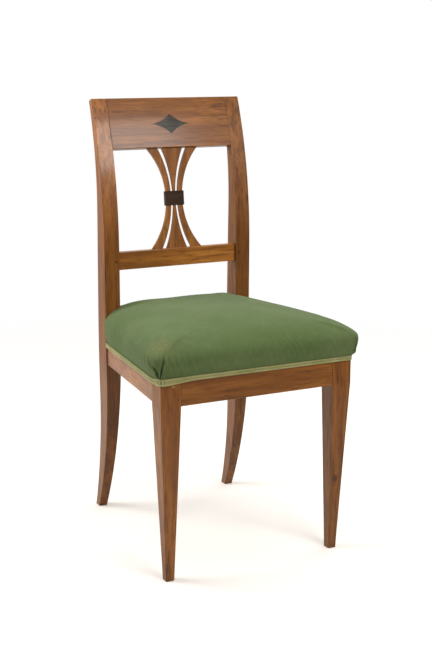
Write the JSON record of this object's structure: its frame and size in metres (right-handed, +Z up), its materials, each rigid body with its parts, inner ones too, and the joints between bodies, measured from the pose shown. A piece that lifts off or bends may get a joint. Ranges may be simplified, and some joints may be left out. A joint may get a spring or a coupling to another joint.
{
  "type": "dining chair",
  "caption": "Wooden side chair with tapered front legs, sabre rear legs, a curved crest with an inlaid star, a waisted splat and a stuffed-over fabric seat.",
  "frame": {"origin": "on the floor, under the middle of the chair's overall box", "axes": "+Z up, the chair faces -Y, +X to the right as seen from the front"},
  "size_m": [0.426, 0.4574, 0.8816],
  "materials": {
    "polished_wood": "satin shellac polish",
    "ebonised_wood": "satin black stain",
    "block_wood": "bare sawn wood",
    "seat_fabric": "plain weave, matt",
    "gimp_braid": "ribbed braid",
    "jute_webbing": "coarse weave",
    "hessian": "open coarse weave",
    "horsehair": "curled hair",
    "steel": "blued"
  },
  "bodies": {
    "root": {"corner_block_front_left": "block_wood", "corner_block_front_right": "block_wood", "corner_block_rear_left": "block_wood", "corner_block_rear_right": "block_wood", "corner_block_screws": "steel", "cover_tacks": "steel", "crest_rail": "polished_wood", "crest_star_inlay": "ebonised_wood", "front_leg_left": "polished_wood", "front_leg_right": "polished_wood", "front_seat_rail": "polished_wood", "hessian": "hessian", "joint_pegs": "polished_wood", "left_seat_rail": "polished_wood", "lower_back_rail": "polished_wood", "rear_leg_left": "polished_wood", "rear_leg_right": "polished_wood", "rear_seat_rail": "polished_wood", "right_seat_rail": "polished_wood", "seat_cover": "seat_fabric", "seat_gimp_back": "gimp_braid", "seat_gimp_front": "gimp_braid", "seat_stuffing": "horsehair", "splat_centre_slat": "polished_wood", "splat_collar_back": "ebonised_wood", "splat_collar_front": "ebonised_wood", "splat_slat_left": "polished_wood", "splat_slat_right": "polished_wood", "webbing_cross_front": "jute_webbing", "webbing_cross_middle": "jute_webbing", "webbing_cross_rear": "jute_webbing", "webbing_long_centre": "jute_webbing", "webbing_long_left": "jute_webbing", "webbing_long_right": "jute_webbing", "webbing_tacks": "steel"}
  },
  "joints": []
}
